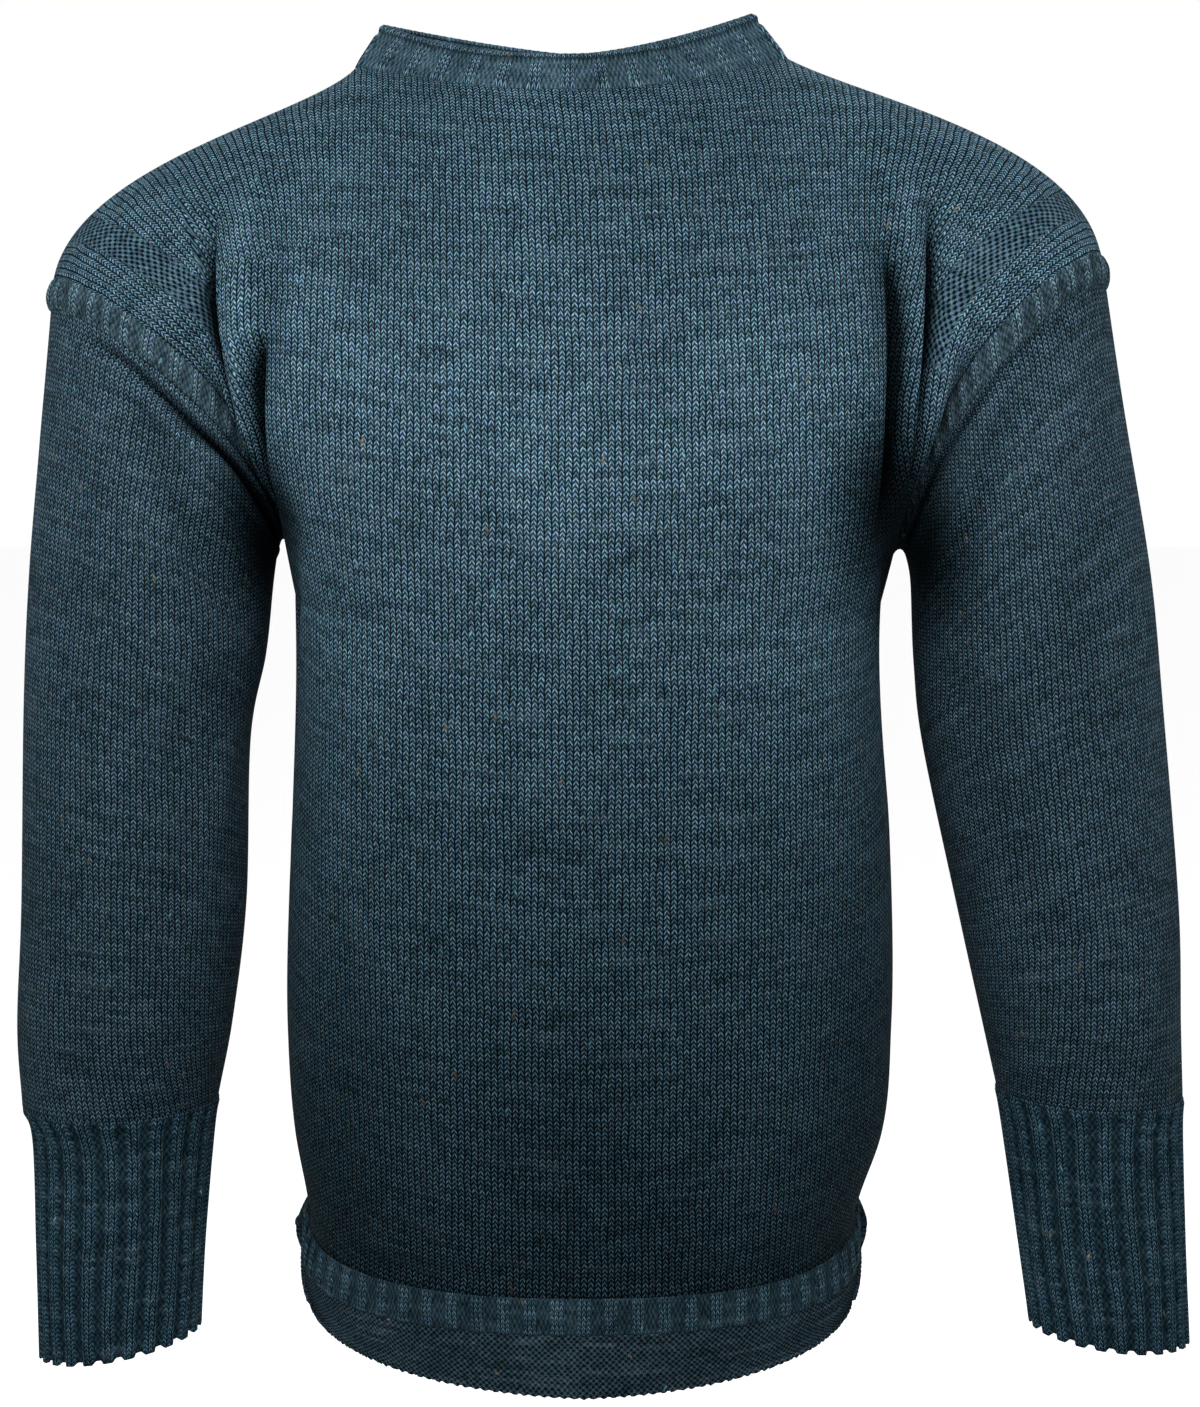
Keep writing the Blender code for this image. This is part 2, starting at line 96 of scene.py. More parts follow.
YOKE = {
    ("right", FRONT): table(
        "share   top_x top_y top_z  low_x low_y low_z",
        (0.00,      0,  -86,  -42,     0, -134, -160),
        (0.21,    -60,  -84,  -40,   -54, -133, -160),
        (0.42,   -118,  -64,  -20,  -106, -128, -162),
        (0.58,   -156,  -58,  -42,  -144, -120, -165),
        (0.75,   -184,  -62,  -60,  -181, -104, -180),
        (1.00,   -262,  -74, -100,  -164,  -84, -156),
    ),
    ("left", FRONT): table(
        "share   top_x top_y top_z  low_x low_y low_z",
        (0.00,      0,  -86,  -42,     0, -134, -160),
        (0.21,     50,  -84,  -38,    52, -133, -160),
        (0.42,    106,  -64,  -16,   103, -128, -162),
        (0.58,    148,  -58,  -34,   140, -120, -165),
        (0.75,    178,  -62,  -52,   173, -104, -176),
        (1.00,    258,  -74,  -84,   176,  -84, -136),
    ),
    ("right", BACK): table(
        "share   top_x top_y top_z  low_x low_y low_z",
        (0.00,      0,   66,  -26,     0,  118, -150),
        (0.21,    -58,   64,  -26,   -54,  117, -150),
        (0.42,   -118,   50,  -18,  -106,  113, -152),
        (0.58,   -158,   54,  -42,  -146,  106, -155),
        (0.75,   -198,   60,  -64,  -180,   96, -165),
        (1.00,   -262,   72, -100,  -166,   86, -156),
    ),
    ("left", BACK): table(
        "share   top_x top_y top_z  low_x low_y low_z",
        (0.00,      0,   66,  -26,     0,  118, -150),
        (0.21,     46,   64,  -24,    52,  117, -150),
        (0.42,    104,   50,  -14,   103,  113, -152),
        (0.58,    150,   54,  -34,   142,  106, -155),
        (0.75,    190,   60,  -55,   177,   96, -165),
        (1.00,    258,   72,  -84,   174,   86, -138),
    ),
}
NECK_CENTRE = -8
NECK = {
    FRONT: dict(depth=36, dip=-16.5, collar_depth=33, collar_dip=0.5,
                rise=dict(right=2.5, left=2.0)),
    BACK: dict(depth=46, dip=-12, collar_depth=42, collar_dip=5,
               rise=dict(right=1.15, left=1.5)),
}

# Creases over a panel.  low, mid and top are shares of its half width, minus on the
# wearer's right; start and end are heights, from -1 at the hem rib through 0 at the
# underarm to 1 at the shoulder; left and right are the widths of its flanks; depth is
# in millimetres, and minus on a ridge.
PANEL_CREASES = {
    FRONT: table(
        "low     mid     top     start   end     left    right   depth",
        (-0.755, -0.772, -0.700,   0.02,   0.74,  0.026,  0.009,   14.0),
        (-0.760, -0.700, -0.630,   0.02,   0.84,  0.034,  0.034,   -4.0),
        (-0.735, -0.625, -0.575,   0.04,   0.80,  0.040,  0.040,    3.6),
        (-0.740, -0.705, -0.640,  -0.02,   0.43,  0.028,  0.017,   16.0),
        (-0.880, -0.890, -0.900,   0.10,   0.60,  0.050,  0.050,    2.0),
        (-0.840, -0.730, -0.610,  -0.52,   0.03,  0.060,  0.050,    3.4),
        (-0.700, -0.630, -0.560,  -0.30,   0.10,  0.050,  0.050,   -1.6),
        (-0.520, -0.490, -0.460,  -1.05,  -0.40,  0.090,  0.090,    2.4),
        (-0.220, -0.240, -0.260,  -1.05,  -0.55,  0.070,  0.080,   -1.6),
        ( 0.040,  0.030,  0.020,  -1.05,  -0.35,  0.090,  0.090,    1.2),
        ( 0.340,  0.310,  0.280,  -1.05,  -0.60,  0.070,  0.090,   -1.8),
        ( 0.600,  0.550,  0.500,  -1.05,  -0.45,  0.080,  0.080,    2.4),
        ( 0.700,  0.625,  0.550,  -0.28,   0.08,  0.050,  0.050,   -1.6),
        ( 0.850,  0.750,  0.640,  -0.42,   0.03,  0.050,  0.060,    2.9),
        ( 0.840,  0.830,  0.820,   0.03,   0.56,  0.050,  0.060,   -3.0),
        ( 0.670,  0.612,  0.565,   0.04,   0.82,  0.036,  0.040,    3.6),
        ( 0.630,  0.660,  0.600,  -0.02,   0.62,  0.020,  0.034,   16.5),
        ( 0.710,  0.675,  0.620,   0.02,   0.84,  0.030,  0.030,   -4.0),
        ( 0.742,  0.730,  0.685,   0.02,   0.76,  0.011,  0.024,   14.0),
    ),
    BACK: table(
        "low     mid     top     start   end     left    right   depth",
        (-0.780, -0.775, -0.750,   0.02,   0.70,  0.045,  0.014,    7.5),
        (-0.660, -0.640, -0.600,   0.00,   0.60,  0.050,  0.040,    3.4),
        (-0.720, -0.705, -0.680,   0.02,   0.70,  0.036,  0.036,   -3.4),
        (-0.840, -0.750, -0.660,  -0.40,   0.04,  0.060,  0.060,    2.6),
        (-0.500, -0.450, -0.400,  -1.05,  -0.35,  0.100,  0.080,    2.4),
        (-0.180, -0.210, -0.240,  -1.05,  -0.50,  0.080,  0.080,   -1.8),
        ( 0.100,  0.070,  0.040,  -1.05,  -0.20,  0.090,  0.100,    1.8),
        ( 0.400,  0.370,  0.340,  -1.05,  -0.55,  0.070,  0.080,   -2.0),
        ( 0.660,  0.600,  0.540,  -1.05,  -0.40,  0.080,  0.080,    2.2),
        ( 0.820,  0.740,  0.660,  -0.36,   0.04,  0.060,  0.060,    2.6),
        ( 0.000,  0.000,  0.000,   0.45,   0.98,  0.160,  0.160,    2.0),
        ( 0.700,  0.690,  0.660,   0.02,   0.72,  0.036,  0.036,   -3.4),
        ( 0.640,  0.620,  0.580,   0.00,   0.54,  0.040,  0.050,    3.4),
        ( 0.760,  0.755,  0.730,   0.02,   0.74,  0.014,  0.045,    7.5),
    ),
}
# Painted shade by height, 0 full colour and 1 black: painted darker towards the bottom,
# where less light reaches, and a little darker again above the chest.
PAINTED_SHADE = table(
    "level  shade",
    (-680,   0.82),
    (-600,   0.79),
    (-500,   0.65),
    (-400,   0.46),
    (-300,   0.28),
    (-200,   0.10),
    (-120,   0.17),
    (-50,    0.34),
    (40,     0.40),
)
# Where little light comes in under the arms: centre and reach of each dark hollow.
ARMPITS = table(
    "x     y    z     reach",
    (-162, -72, -228, 24),
    (152,  -84, -220, 34),
    (-162, -20, -240, 28),
    (166,  -46, -256, 31),
    (-164,  60, -232, 20),
    (164,   60, -236, 20),
)
HOLLOW_SHADE, HOLLOW_SQUEEZE = 0.95, (1, 0.7, 0.75)
# Painted shade: a trough darkens by so much a millimetre, up to a limit, and a ridge
# lightens as a painted highlight; between the last two depths a fold is painted dark.
SHADE_RATE, LIFT_SHADE, TROUGH_SHADE = 0.06, 0.15, 0.3
SLOT_SHADE, SLOT_START, SLOT_END = 0.9, 3.5, 8

# A soft trough where the hem rib draws the cloth in: depth, height and width.
HEM_TROUGH, ABOVE_RIB, TROUGH_WIDTH = 2.6, 8, 6
SEED_NEAR, SEED_FAR, SEED_FOOT = 20.5, 38, 0.37     # band's edges from the seam, its foot
PANEL_CUT = {FRONT: dict(flat=(0.634, 0.653), area=0.291),
             BACK: dict(flat=(0.641, 0.655), area=0.277)}


def along(columns, name, at, key):
    """Value of a column at a place along the table's key column, on a smooth curve."""
    x, y = columns[key], columns[name]
    if x[0] > x[-1]:
        x, y = x[::-1], y[::-1]
    slope = np.gradient(y, x)
    at = np.clip(at, x[0], x[-1])
    i = np.clip(np.searchsorted(x, at) - 1, 0, len(x) - 2)
    gap = x[i + 1] - x[i]
    u = (at - x[i]) / gap
    return ((1 + 2 * u) * (1 - u) ** 2 * y[i] + u * (1 - u) ** 2 * gap * slope[i]
            + u ** 2 * (3 - 2 * u) * y[i + 1] + u ** 2 * (u - 1) * gap * slope[i + 1])


def bezier(p0, p1, p2, p3, t):
    """Cubic curve from p0 to p3 with handles p1 and p2; points may be whole rows."""
    p0, p1, p2, p3 = (np.asarray(p, float) for p in (p0, p1, p2, p3))
    t = np.asarray(t, float).reshape((-1,) + (1,) * p0.ndim)
    return ((1 - t) ** 3 * p0 + 3 * t * (1 - t) ** 2 * p1
            + 3 * t ** 2 * (1 - t) * p2 + t ** 3 * p3)


def run(curve):
    """Length along a curve at each of its points."""
    return np.concatenate(([0], np.cumsum(np.linalg.norm(np.diff(curve, axis=0), axis=1))))


def at_shares(curve, shares):
    """Points at the given shares of a curve's length."""
    length = run(curve)
    return np.stack([np.interp(shares, length / length[-1], curve[:, k]) for k in range(3)],
                    axis=-1)


def step(low, high, x):
    """Smooth rise from 0 at low to 1 at high."""
    t = np.clip((x - low) / (high - low), 0, 1)
    return t * t * (3 - 2 * t)


def torso_row(side, face, level, edge, shares):
    """One course from the centre line round to its edge at the side: half of a squared
    ellipse, divided by girth."""
    depth = face * along(TORSO, "front" if face == FRONT else "back", level, "level")
    square = along(TORSO, "square", level, "level")
    centre = np.array([0, depth, level])
    edge = np.asarray(edge, float)
    half = edge - centre
    curve = bezier(centre, centre + (square * half[0], 0, 0.2 * half[2]),
                   edge - (0, square * half[1], 0.2 * half[2]), edge, np.linspace(0, 1, 200))
    near_hem = np.clip((RISE_TOP - level) / (RISE_TOP - RIB_LEVEL), 0, 1)
    row = at_shares(curve, np.interp(shares, [0, FOLD_SHARE, 1], [0, SIDE_SHARE, 1]))
    row[:, 2] += SIDE_RISE * near_hem ** 2 * shares ** 3.5
    return row


def torso_edge(side, level):
    """Point of the side line at a height below the gusset."""
    sign = -1 if side == "right" else 1
    return sign * along(TORSO, side, level, "level"), 0, level


def top_edge(side, face, shares):
    """Neck line, a parabola to the neck point, then the shoulder seam to its tip."""
    shape, shoulder = NECK[face], SHOULDER[side]
    corner = np.array(shoulder["neck_point"], float)
    q = np.clip(shares / NECK_SHARE, 0, 1)
    neck = np.stack([NECK_CENTRE + q * (corner[0] - NECK_CENTRE),
                     corner[1] + face * shape["depth"] * (1 - q ** 2),
                     shape["dip"] + (corner[2] - shape["dip"]) * q ** 2], axis=-1)
    line = bezier(corner, *shoulder["line"], shoulder["tip"], np.linspace(0, 1, 200))
    seam = at_shares(line, np.clip((shares - NECK_SHARE) / (1 - NECK_SHARE), 0, 1))
    return np.where((shares <= NECK_SHARE)[:, None], neck, seam)


def body_half(side, face, shares):
    """Half a panel: torso courses up to the underarm, then a cubic column of cloth at
    each share from the underarm course to the neck or shoulder."""
    shoulder = SHOULDER[side]
    corner = np.array(shoulder["gusset_body"], float)
    front = np.array(shoulder["gusset_front" if face == FRONT else "gusset_back"], float)
    rows = []
    for u in np.linspace(0, 1, TORSO_ROWS + 1):
        level = RIB_LEVEL + u * (GUSSET_LEVEL - RIB_LEVEL)
        edge = np.array(torso_edge(side, RIB_LEVEL + u * (corner[2] - RIB_LEVEL)))
        rows.append(torso_row(side, face, level, edge + u ** 8 * (corner - edge), shares))
    for u in np.linspace(0, 1, GUSSET_ROWS + 1)[1:]:
        level = GUSSET_LEVEL + u * (UNDERARM_LEVEL - GUSSET_LEVEL)
        rows.append(torso_row(side, face, level, corner + u * (front - corner), shares))
    low, top, handles = rows[-1], top_edge(side, face, shares), YOKE[side, face]
    grip = {n: np.stack([along(handles, n + axis, shares, "share")
                         for axis in ("_x", "_y", "_z")], axis=-1) for n in ("top", "low")}
    columns = bezier(low, grip["low"], grip["top"], top, np.linspace(0, 1, 200))
    yoke = np.stack([at_shares(columns[:, i], np.linspace(0, 1, YOKE_ROWS + 1))
                     for i in range(len(shares))], axis=1)
    return np.concatenate([np.stack(rows), yoke[1:]])


def across(grid):
    """Length along every row of a grid, from its first column."""
    gaps = np.linalg.norm(np.diff(grid, axis=1), axis=2)
    return np.concatenate([np.zeros((len(grid), 1)), np.cumsum(gaps, axis=1)], axis=1)


def upward(grid):
    """Length along every column of a grid, from its first row."""
    return across(grid.transpose(1, 0, 2)).T


def outward(grid, turn, closed=False):
    """Unit normals of a grid; a closed one has its first column again at its end."""
    if closed:
        wide = np.concatenate([grid[:, -2:-1], grid, grid[:, 1:2]], axis=1)
        du = wide[:, 2:] - wide[:, :-2]
    else:
        du = np.gradient(grid, axis=1)
    n = turn * np.cross(du, np.gradient(grid, axis=0))
    return n / np.linalg.norm(n, axis=-1, keepdims=True)


def pushed(grid, depth, turn, closed=False):
    """Grid moved inward by depth along its normals."""
    return grid - depth[..., None] * outward(grid, turn, closed)


def creases(lines, x, y):
    """Depth of soft troughs (+) and ridges (-): each runs over a stretch of y, along a
    line of x that bends from low through mid to top, and fades at both ends.  Its two
    flanks have widths of their own."""
    total = 0
    for low, mid, top, start, end, left, right, depth in zip(*lines.values()):
        u = (y - start) / (end - start)
        d = x - bent(low, mid, top, u)
        fade = np.clip(u * (1 - u) * 4, 0, 1) ** 1.2 * ((u > 0) & (u < 1))
        total = total + depth * fade * np.exp(-(d / np.where(d < 0, left, right)) ** 2)
    return total


def bent(low, mid, top, u):
    """Parabola through low at 0, mid at a half and top at 1, level beyond both ends."""
    u = np.clip(u, 0, 1)
    return low * (1 - u) * (1 - 2 * u) + 4 * mid * u * (1 - u) + top * u * (2 * u - 1)


def shadow(grid, shade, depth):
    """Painted shade of a grid: its own painted shade, deeper in its troughs, less on its
    ridges as a painted highlight and, by a bell round each hollow's centre, deeper under
    the arms."""
    clear = 1 - shade
    clear = clear * (1 - np.clip(depth * SHADE_RATE, -LIFT_SHADE, TROUGH_SHADE))
    clear = clear * (1 - SLOT_SHADE * step(SLOT_START, SLOT_END, depth))
    for x, y, z, reach in zip(*ARMPITS.values()):
        near = np.linalg.norm((grid - (x, y, z)) * HOLLOW_SQUEEZE, axis=-1)
        clear = clear * (1 - HOLLOW_SHADE * np.exp(-(near / reach) ** 3))
    return 1 - clear


def corners(grid):
    """The four corner values of every quad of a grid."""
    return np.stack([grid[:-1, :-1], grid[:-1, 1:], grid[1:, 1:], grid[1:, :-1]], axis=2)


def wall(name, grid, turn, stitches, marks=None, closed=False, thick=CLOTH_THICK):
    """Closed wall: the grid outside, a second one a thickness behind it, and rims.
    stitches is a grid of (along, up) in millimetres, or the same for each quad's
    corners; marks are named values at the points."""
    rows, cols = grid.shape[:2]
    if stitches.ndim == 3:
        stitches = corners(stitches)
    keep = cols - 1 if closed else cols
    count = rows * keep
    index = np.arange(count).reshape(rows, keep)
    if closed:
        index = np.concatenate([index, index[:, :1]], axis=1)
    inner = grid - thick * outward(grid, turn, closed)
    outer_quads = corners(index).reshape(-1, 4)
    maps = stitches.reshape(-1, 4, 2)
    rims, rim_maps = [], []
    edges = [(index[0, ::-1], stitches[0, ::-1, :2][:, ::-1]),
             (index[-1], stitches[-1, :, 2:][:, ::-1])]
    if not closed:
        edges += [(index[:, 0], stitches[:, 0][:, [0, 3]]),
                  (index[::-1, -1], stitches[::-1, -1][:, [2, 1]])]
    for line, spots in edges:
        rims.append(np.stack([line[:-1], line[1:], line[1:] + count, line[:-1] + count],
                             axis=-1))
        rim_maps.append(spots[:, [0, 1, 1, 0]])
    faces = np.concatenate([outer_quads, outer_quads[:, ::-1] + count] + rims)
    uv = np.concatenate([maps, maps[:, ::-1]] + rim_maps)
    if turn < 0:
        faces, uv = faces[:, ::-1], uv[:, ::-1]
    mesh = bpy.data.meshes.new(name)
    points = np.concatenate([grid[:, :keep].reshape(-1, 3), inner[:, :keep].reshape(-1, 3)])
    mesh.from_pydata((points * 0.001).tolist(), [], faces.tolist())
    mesh.uv_layers.new(name="stitches").data.foreach_set("uv", (uv * 0.001).ravel())
    marks = dict(marks or {})
    for mark, values in marks.items():
        values = np.broadcast_to(values, grid.shape[:2])[:, :keep].ravel()
        layer = mesh.attributes.new(mark, "FLOAT", "POINT")
        layer.data.foreach_set("value", np.concatenate([values, values]).astype(np.float32))
    inside = mesh.attributes.new("inside", "FLOAT", "POINT")
    inside.data.foreach_set("value", np.repeat([0.0, 1.0], count).astype(np.float32))
    mesh.shade_smooth()
    piece = bpy.data.objects.new(name, mesh)
    bpy.context.scene.collection.objects.link(piece)
    return piece


def linear(colour):
    """Linear red, green, blue and alpha of an sRGB hex colour."""
    parts = [int(colour[i:i + 2], 16) / 255 for i in (1, 3, 5)]
    return [c / 12.92 if c < 0.04045 else ((c + 0.055) / 1.055) ** 2.4 for c in parts] + [1]


def node(tree, kind, inputs=None, **settings):
    """Adds a node with its settings; an input is a value, or a socket to link."""
    new = tree.nodes.new("ShaderNode" + kind)
    for key, value in settings.items():
        setattr(new, key, value)
    for key, value in (inputs or {}).items():
        if isinstance(value, bpy.types.NodeSocket):
            tree.links.new(value, new.inputs[key])
        else:
            new.inputs[key].default_value = value
    return new


def knit(name, gap, loop, wale=WALE, course=COURSE, relief=0.9):
    """Worsted five-ply wool, spun tight, dyed in the yarn and knitted: matt, with bright
    loops and a drift of dye along each course.  The dark gap colour between the loops is
    painted shade, and the shade mark paints more shade over all, or a highlight where it
    is below 0.  Stocking stitch, with seed stitch, purl and the reverse side where the
    marks say so.  A wale is a stack of loops, each two legs that meet at its top; sizes
    are in millimetres."""
    material = bpy.data.materials.new(name)
    material.use_nodes = True
    tree = material.node_tree

    def calc(kind, a, b=0.0, c=0.0):
        inputs = {0: a, 1: b} if kind not in ("MULTIPLY_ADD", "COMPARE") else {0: a, 1: b, 2: c}
        return node(tree, "Math", inputs, operation=kind).outputs[0]

    def rise(value, low, high, start=0.0, end=1.0):
        return node(tree, "MapRange", {"Value": value, "From Min": low, "From Max": high,
                                       "To Min": start, "To Max": end},
                    interpolation_type="SMOOTHSTEP").outputs[0]

    def blend(factor, a, b):
        mixer = node(tree, "Mix", {"Factor": factor, "A": a, "B": b}, data_type="FLOAT")
        return mixer.outputs[0]

    def tint(factor, a, b, how="MIX"):
        mixer = node(tree, "Mix", {0: factor, 6: a, 7: b}, data_type="RGBA", blend_type=how)
        return mixer.outputs[2]

    def mark(word):
        return node(tree, "Attribute", attribute_name=word).outputs["Fac"]

    # The map is in metres: noise of scale 70 sways the yarn every 14 mm, 1500 is the
    # fibre's 0.7 mm and 9 the dye's drift over 110 mm.
    spot = node(tree, "UVMap", uv_map="stitches").outputs[0]
    sway = node(tree, "TexNoise", {"Vector": spot, "Scale": 70.0, "Detail": 2.0},
                noise_dimensions="2D").outputs["Color"]
    sway = node(tree, "SeparateXYZ", {0: sway}).outputs
    place = node(tree, "SeparateXYZ", {0: spot}).outputs
    u = calc("MULTIPLY_ADD", place[0], 1000 / wale, calc("MULTIPLY_ADD", sway[0], 0.6, -0.3))
    v = calc("MULTIPLY_ADD", place[1], 1000 / course, calc("MULTIPLY", sway[1], 0.8))

    # Stocking stitch: legs slope down from the middle of the wale to its edges.
    aside = calc("MULTIPLY", calc("PINGPONG", u, 0.5), 2.0)
    leg = calc("MULTIPLY_ADD", aside, 0.95, v)
    round_leg = rise(calc("PINGPONG", leg, 0.5), 0.05, 0.42)
    width = calc("SUBTRACT", rise(aside, 0.66, 1.0, 1.0, 0.0), rise(aside, 0.0, 0.24, 0.3, 0.0))
    stocking = calc("MULTIPLY", width, calc("MULTIPLY_ADD", round_leg, 0.8, 0.2))

    # Seed stitch: a net of loops round small dark holes.  Purl: the same net, filled in.
    net = calc("MULTIPLY", calc("COSINE", calc("MULTIPLY", u, 2 * np.pi)),
               calc("COSINE", calc("MULTIPLY", v, np.pi)))
    seed = rise(net, -0.85, 0.4, 0.02, 0.63)
    purl = calc("MULTIPLY_ADD", net, 0.2, 0.52)
    height = blend(mark("purl"), stocking, purl)
    height = blend(mark("seed"), height, seed)
    height = blend(mark("inside"), height, purl)

    # Every leg takes up a little more or less dye; a course is one strand of yarn, so its
    # dye drifts along the row.  The shade mark is painted shade: it darkens the colour, takes
    # a little red out of it and spreads the dark of the painted gaps; below 0 it is a
    # painted highlight.
    cell = node(tree, "CombineXYZ", {0: calc("FLOOR", calc("MULTIPLY", u, 2.0)),
                                     1: calc("FLOOR", leg)}).outputs[0]
    chance = node(tree, "TexWhiteNoise", {"Vector": cell}, noise_dimensions="2D").outputs
    strand = node(tree, "CombineXYZ", {0: calc("MULTIPLY", u, 0.07),
                                       1: calc("MULTIPLY", calc("FLOOR", leg), 0.7)}).outputs[0]
    streak = node(tree, "TexNoise", {"Vector": strand, "Scale": 1.0, "Detail": 3.0,
                                     "Roughness": 0.6}, noise_dimensions="2D").outputs["Fac"]
    fibre = node(tree, "TexNoise", {"Vector": spot, "Scale": 1500.0, "Detail": 3.0},
                 noise_dimensions="2D").outputs["Fac"]
    cloud = node(tree, "TexNoise", {"Vector": spot, "Scale": 9.0, "Detail": 3.0},
                 noise_dimensions="2D").outputs["Fac"]
    light = calc("MULTIPLY_ADD", chance["Value"], 0.75, 0.42)
    light = calc("MULTIPLY_ADD", rise(streak, 0.3, 0.7), 0.42, light)
    light = calc("MULTIPLY", light, rise(fibre, 0.3, 0.7, 0.6, 1.4))
    light = calc("MULTIPLY", light, rise(cloud, 0.3, 0.7, 0.9, 1.1))
    light = calc("MULTIPLY", light, calc("SUBTRACT", 1.0, mark("shade")))
    contrast = calc("MULTIPLY_ADD", mark("shade"), 1.1, 1.65)
    colour = tint(calc("POWER", height, contrast), linear(gap), linear(loop))
    colour = tint(calc("MAXIMUM", mark("shade"), 0.0), colour, linear("#e9ffff"), "MULTIPLY")
    colour = tint(0.09, colour, chance["Color"], "OVERLAY")
    colour = tint(rise(streak, 0.55, 0.8, 0.0, 0.35), colour, linear("#39444a"))
    teal_fleck = calc("GREATER_THAN", chance["Value"], 0.9995)
    colour = tint(calc("MULTIPLY", teal_fleck, 0.25), colour, linear("#4f8698"))
    tan_fleck = calc("LESS_THAN", chance["Value"], 0.0005)
    colour = tint(calc("MULTIPLY", tan_fleck, 0.5), colour, linear("#8a765f"))
    colour = node(tree, "VectorMath", {0: colour, "Scale": light}, operation="SCALE").outputs[0]

    relief_height = calc("MULTIPLY_ADD", fibre, 0.2, height)
    bump = node(tree, "Bump", {"Height": relief_height, "Distance": relief * 0.001,
                               "Strength": 0.9})
    shader = tree.nodes["Principled BSDF"]
    shader.inputs["Roughness"].default_value = 0.92
    shader.inputs["Specular IOR Level"].default_value = 0.01
    shader.inputs["Sheen Weight"].default_value = 0.01
    shader.inputs["Sheen Roughness"].default_value = 0.5
    shader.inputs["Sheen Tint"].default_value = linear("#8fa9b6")
    tree.links.new(colour, shader.inputs["Base Color"])
    tree.links.new(bump.outputs[0], shader.inputs["Normal"])
    return material


def put_on(piece, frame_name, wool, flat, area):
    """Gives a piece its wool, parents it to the root body and hides the frame node's part
    that it stands in for; its cut, flat and area, is not used.
    """
    piece.data.materials.append(wool)
    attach(piece, "root")
    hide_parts(frame_name)


half_shares = np.interp(np.arange(TO_SEAM + 1), [0, TO_ROLL, TO_FOLD, TO_SEAM],
                        [0, ROLL_SHARE, FOLD_SHARE, 1])
panel_shares = np.concatenate([-half_shares[::-1], half_shares[1:]])
UNDERARM_ROW = TORSO_ROWS + GUSSET_ROWS
panel_heights = np.concatenate([np.linspace(-1, 0, UNDERARM_ROW + 1),
                                np.linspace(0, 1, YOKE_ROWS + 1)[1:]])
# The fold's line on the map of stitches: its share low, midway and at its top.
FOLD_LINE, FOLD_TOP, FOLD_CUT = (0.75, 0.765, 0.71), 0.6, 0.58
ABOVE_FOLD = UNDERARM_ROW + round(0.76 * YOKE_ROWS)
body_wool = knit("navy_teal_wool_stocking_stitch", PAINTED_GAP_SHADE, LOOP)

panels = {}
for face, word in ((FRONT, "front"), (BACK, "back")):
    right, left = (body_half(side, face, half_shares) for side in ("right", "left"))
    grid = np.concatenate([right[:, ::-1], left[:, 1:]], axis=1)
    depth = creases(PANEL_CREASES[face], panel_shares[None], panel_heights[:, None])
    above_hem = upward(grid)
    drawn_in = (0.6 - 0.4 * np.cos(3 * np.pi * panel_shares)) * step(0, 4, above_hem)
    depth = depth + drawn_in * HEM_TROUGH * np.exp(
        -((above_hem - ABOVE_RIB) / TROUGH_WIDTH) ** 2)
    depth[:, [0, -1]] = 0
    depth[-1] = 0
    grid = pushed(grid, depth, -face)
    panels[face] = grid

    # Stitches run out from the centre line; beyond the fold, in from the armhole seam,
    # as many whole wales out as the cloth is wide above the fold.  Above it they fan.
    length, rise = across(grid), upward(grid)
    rise = rise - rise[UNDERARM_ROW]
    middle = length[:, TO_SEAM:TO_SEAM + 1]
    reach = np.where(panel_shares < 0, middle, length[:, -1:] - middle)
    inner = length - middle
    wales = np.round((reach[ABOVE_FOLD] - reach[UNDERARM_ROW]) / WALE)
    outer = np.sign(panel_shares) * (reach[UNDERARM_ROW] + WALE * wales - reach) + inner
    fan = inner + np.clip(np.abs(panel_shares) * 1.7 - 0.7, 0, 1) * (outer - inner)
    inner_map, outer_map, fan_map = (corners(np.stack([spots, rise], axis=-1))
                                     for spots in (inner, outer, fan))
    share = np.abs(0.5 * (panel_shares[1:] + panel_shares[:-1]))[None, :]
    height = panel_heights[1:, None]
    beyond = (share > bent(*FOLD_LINE, height / FOLD_TOP)) & (height > 0)
    stitches = np.where(beyond[..., None, None], outer_map, inner_map)
    stitches = np.where((height > FOLD_CUT)[..., None, None], fan_map, stitches)

    to_seam = np.minimum(length, length[:, -1:] - length)
    seed = (step(SEED_NEAR - 1, SEED_NEAR + 1, to_seam)
            * (1 - step(SEED_FAR - 1, SEED_FAR + 1, to_seam))
            * step(SEED_FOOT - 0.03, SEED_FOOT + 0.03, panel_heights[:, None]))
    # Painted shade: darker by height, in the creases and under the arms, with a painted
    # highlight on the ridges.
    shade = shadow(grid, along(PAINTED_SHADE, "shade", grid[..., 2], "level"), depth)
    piece = wall(word + "_panel_cloth", grid, -face, stitches, dict(seed=seed, shade=shade))
    put_on(piece, word + "_panel", body_wool, **PANEL_CUT[face])


# ------------------------------------------------------------------------------- sleeves
# Picked up round the armhole and knitted down: a ribbed head, stocking stitch on a tube
# that narrows, and a long cuff in two by two rib, cast off.  Soft troughs run from the
# armpit and gather at the elbow.

